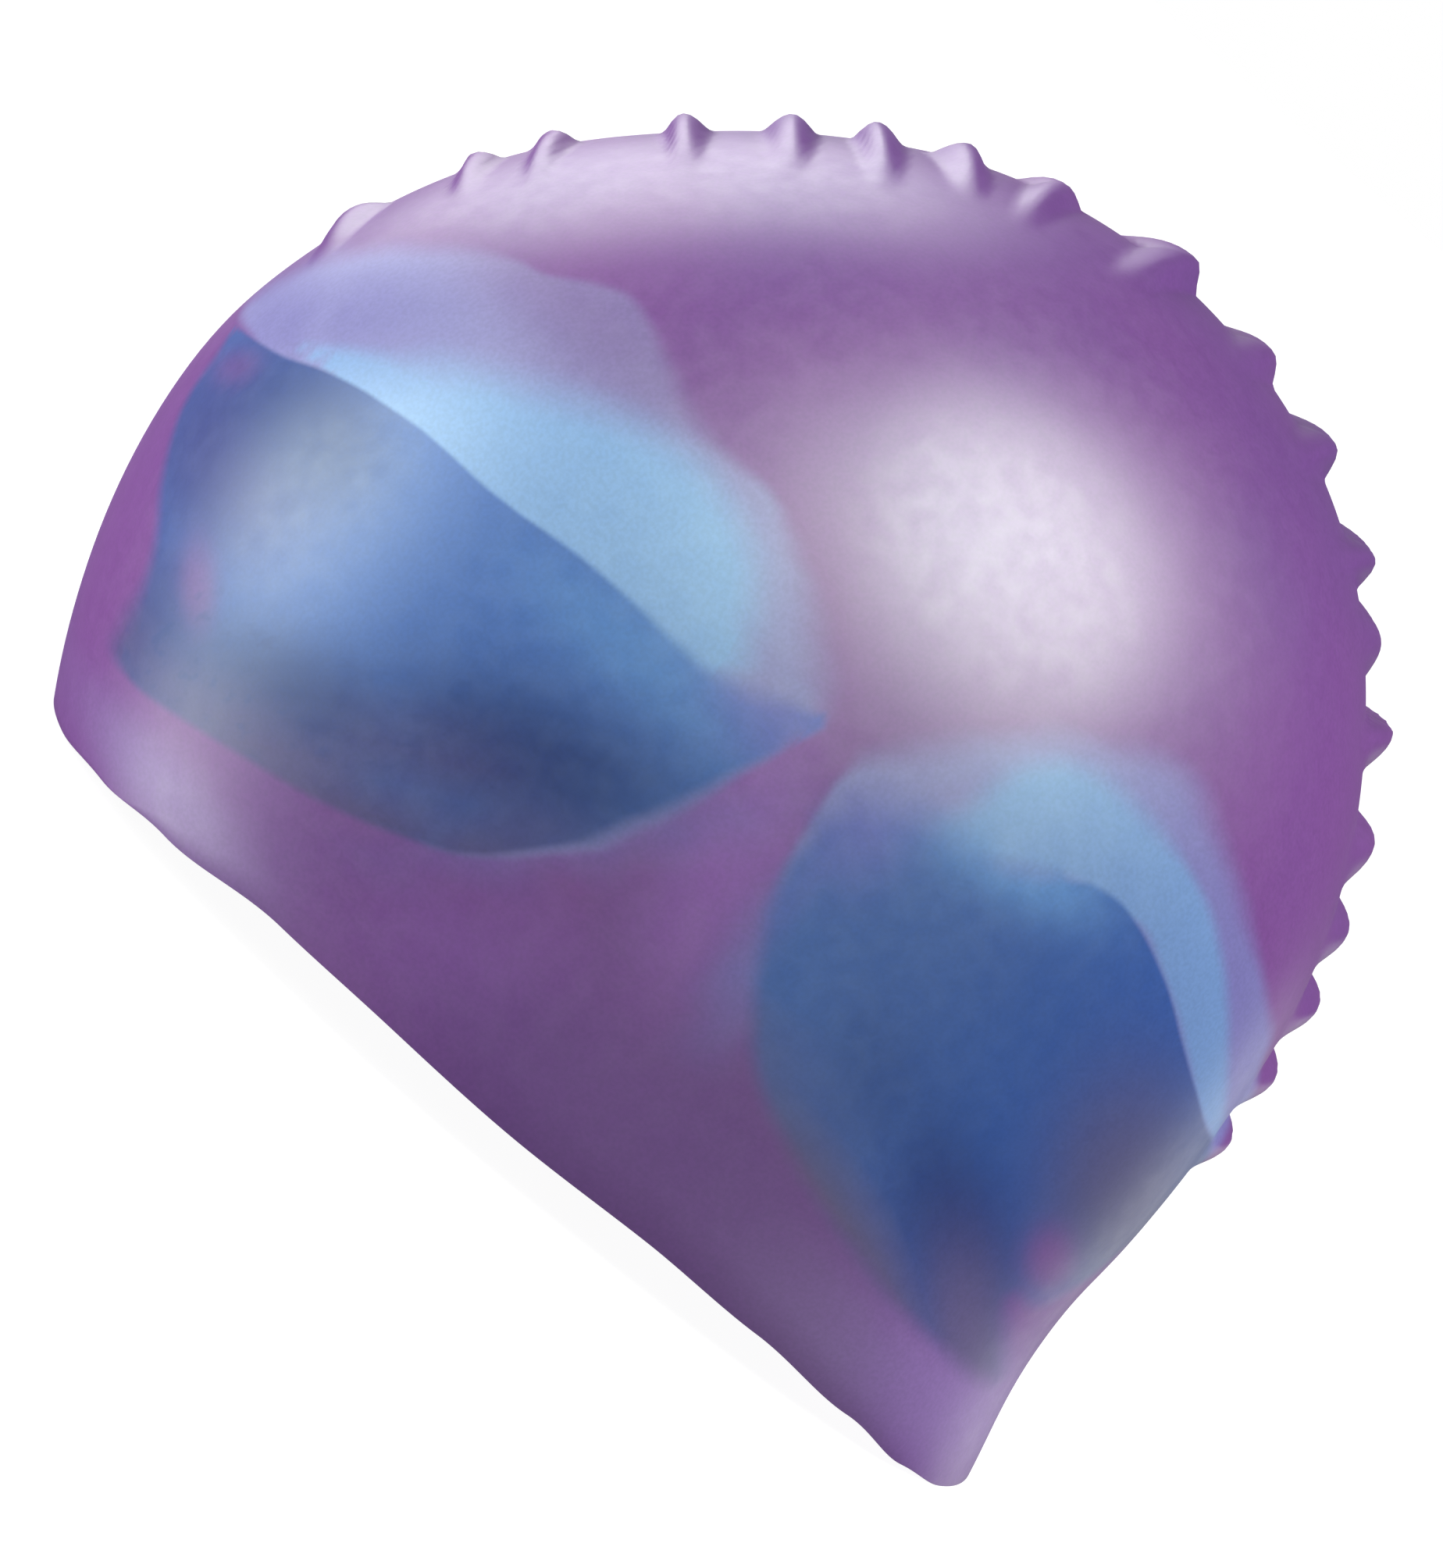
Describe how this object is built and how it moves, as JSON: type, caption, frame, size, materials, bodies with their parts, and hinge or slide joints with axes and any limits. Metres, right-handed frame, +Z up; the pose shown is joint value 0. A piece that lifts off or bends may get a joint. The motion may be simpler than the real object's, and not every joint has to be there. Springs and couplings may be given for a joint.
{
  "type": "swim cap",
  "caption": "Stretchy silicone swim cap in its worn form, with gathers along the centre seam and marbled sides.",
  "frame": {"origin": "middle of the overall size, on the plane that the rim stands on", "axes": "+Z up to the crown, +X toward the nape, -X toward the forehead, -Y toward the wearer's left ear"},
  "size_m": [0.1988, 0.15, 0.1607],
  "materials": {
    "silicone": "satin pearl silicone, purple with blue marbled patches on both sides"
  },
  "bodies": {
    "root": {"cap_shell": "silicone"}
  },
  "joints": []
}
